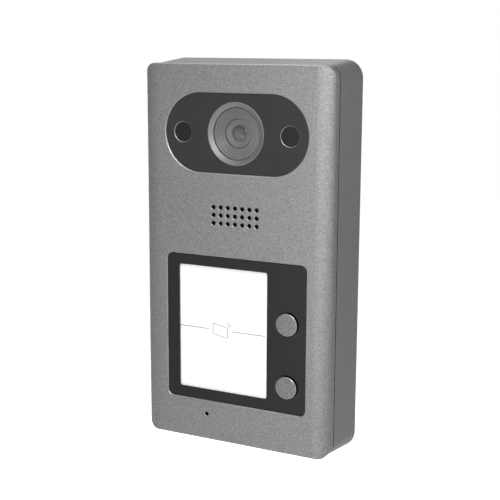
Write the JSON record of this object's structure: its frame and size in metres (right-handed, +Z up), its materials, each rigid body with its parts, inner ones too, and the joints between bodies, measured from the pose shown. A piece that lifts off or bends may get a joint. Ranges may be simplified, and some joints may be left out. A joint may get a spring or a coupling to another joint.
{
  "type": "door intercom panel",
  "caption": "Wall-mounted video door intercom panel: camera under an obround window, speaker grid, card reader window with name sheet and sprung call buttons.",
  "frame": {"origin": "centre of the wall bracket's screw pattern, on the wall face", "axes": "+Z up; +X to the right of someone facing the panel; the front looks along -Y and the wall is at y = 0"},
  "size_m": [0.1048, 0.0305, 0.1899],
  "materials": {
    "cast_metal": "fine-speckled grey metallic paint, satin",
    "black_rubber": "matt black",
    "dark_gloss": "dark glossy",
    "ir_acrylic": "near-black, passes infrared",
    "bezel_grey": "satin grey",
    "lens_grey": "mid-grey ribbed anti-glare plastic",
    "black_plastic": "matt black moulded",
    "clear_glass": "clear coated",
    "filter_glass": "pale cyan coated",
    "bezel_plastic": "dark satin moulded",
    "clear_acrylic": "clear",
    "printed_sheet": "white, thin grey print",
    "milky_acrylic": "milky light guide",
    "button_metal": "satin grey metallic",
    "circuit_board": "green solder mask",
    "copper_track": "plated copper track",
    "led_resin": "pale resin",
    "sensor": "coated silicon under glass",
    "flat_cable": "pale film cable",
    "screw_steel": "zinc plated",
    "mesh_cloth": "fine black woven mesh",
    "cone_paper": "dark pressed cone",
    "plated_metal": "tin plated",
    "switch_black": "black moulded",
    "plunger_white": "white moulded",
    "terminal_green": "green moulded",
    "relay_case": "blue moulded case",
    "capacitor_sleeve": "plain can",
    "bracket_steel": "galvanised sheet"
  },
  "bodies": {
    "panel": {"antenna_coil": "copper_track", "backlight_leds": "led_resin", "board_header": "switch_black", "board_screws": "screw_steel", "button_boot_lower": "black_rubber", "button_boot_upper": "black_rubber", "camera_board": "circuit_board", "camera_carrier": "black_plastic", "camera_flat_cable": "flat_cable", "camera_screws": "screw_steel", "camera_window": "dark_gloss", "capacitors": "capacitor_sleeve", "ethernet_jack": "plated_metal", "front_panel": "cast_metal", "housing_screws": "screw_steel", "image_sensor": "sensor", "ir_cut_filter": "filter_glass", "ir_leds": "led_resin", "ir_window_left": "ir_acrylic", "ir_window_right": "ir_acrylic", "lens_baffle": "lens_grey", "lens_barrel": "lens_grey", "lens_bezel": "bezel_grey", "lens_cover_glass": "clear_glass", "lens_front_element": "clear_glass", "lens_mount": "black_plastic", "lens_rear_element": "clear_glass", "light_board": "circuit_board", "light_diffuser": "milky_acrylic", "lock_relay": "relay_case", "lock_screw": "screw_steel", "main_board": "circuit_board", "microphone": "plated_metal", "microphone_boot": "black_rubber", "nameplate_insert": "printed_sheet", "nameplate_window": "clear_acrylic", "parting_seal": "black_rubber", "reader_bezel": "bezel_plastic", "reader_board": "circuit_board", "reader_screws": "screw_steel", "rear_housing": "cast_metal", "shield_can": "plated_metal", "speaker_cone": "cone_paper", "speaker_frame": "black_plastic", "speaker_gasket": "black_rubber", "speaker_magnet": "plated_metal", "speaker_mesh": "mesh_cloth", "tact_switch_lower": "switch_black", "tact_switch_upper": "switch_black", "tamper_switch": "switch_black", "terminal_block": "terminal_green", "terminal_screws": "screw_steel", "wall_bracket": "bracket_steel", "wall_seal": "black_rubber"},
    "upper_button": {"call_button_upper": "button_metal"},
    "lower_button": {"call_button_lower": "button_metal"},
    "upper_plunger": {"tact_plunger_upper": "plunger_white"},
    "lower_plunger": {"tact_plunger_lower": "plunger_white"},
    "tamper_pin": {"tamper_plunger": "plunger_white"}
  },
  "joints": [
    {"name": "upper_button_press", "type": "slide", "parent": "panel", "child": "upper_button", "axis": [0, 1, 0], "range_m": [0, 0.0008], "stiffness_N_per_m": 2500, "springref_m": -0.0008, "deforming": ["button_boot_upper"]},
    {"name": "upper_switch_press", "type": "slide", "parent": "panel", "child": "upper_plunger", "axis": [0, 1, 0], "range_m": [0, 0.0008]},
    {"name": "lower_button_press", "type": "slide", "parent": "panel", "child": "lower_button", "axis": [0, 1, 0], "range_m": [0, 0.0008], "stiffness_N_per_m": 2500, "springref_m": -0.0008, "deforming": ["button_boot_lower"]},
    {"name": "lower_switch_press", "type": "slide", "parent": "panel", "child": "lower_plunger", "axis": [0, 1, 0], "range_m": [0, 0.0008]},
    {"name": "tamper_press", "type": "slide", "parent": "panel", "child": "tamper_pin", "axis": [0, -1, 0], "range_m": [0, 0.001], "stiffness_N_per_m": 600, "springref_m": -0.0015}
  ],
  "couplings": [
    {"joint": "upper_switch_press", "follows": "upper_button_press", "ratio": 1},
    {"joint": "lower_switch_press", "follows": "lower_button_press", "ratio": 1}
  ]
}
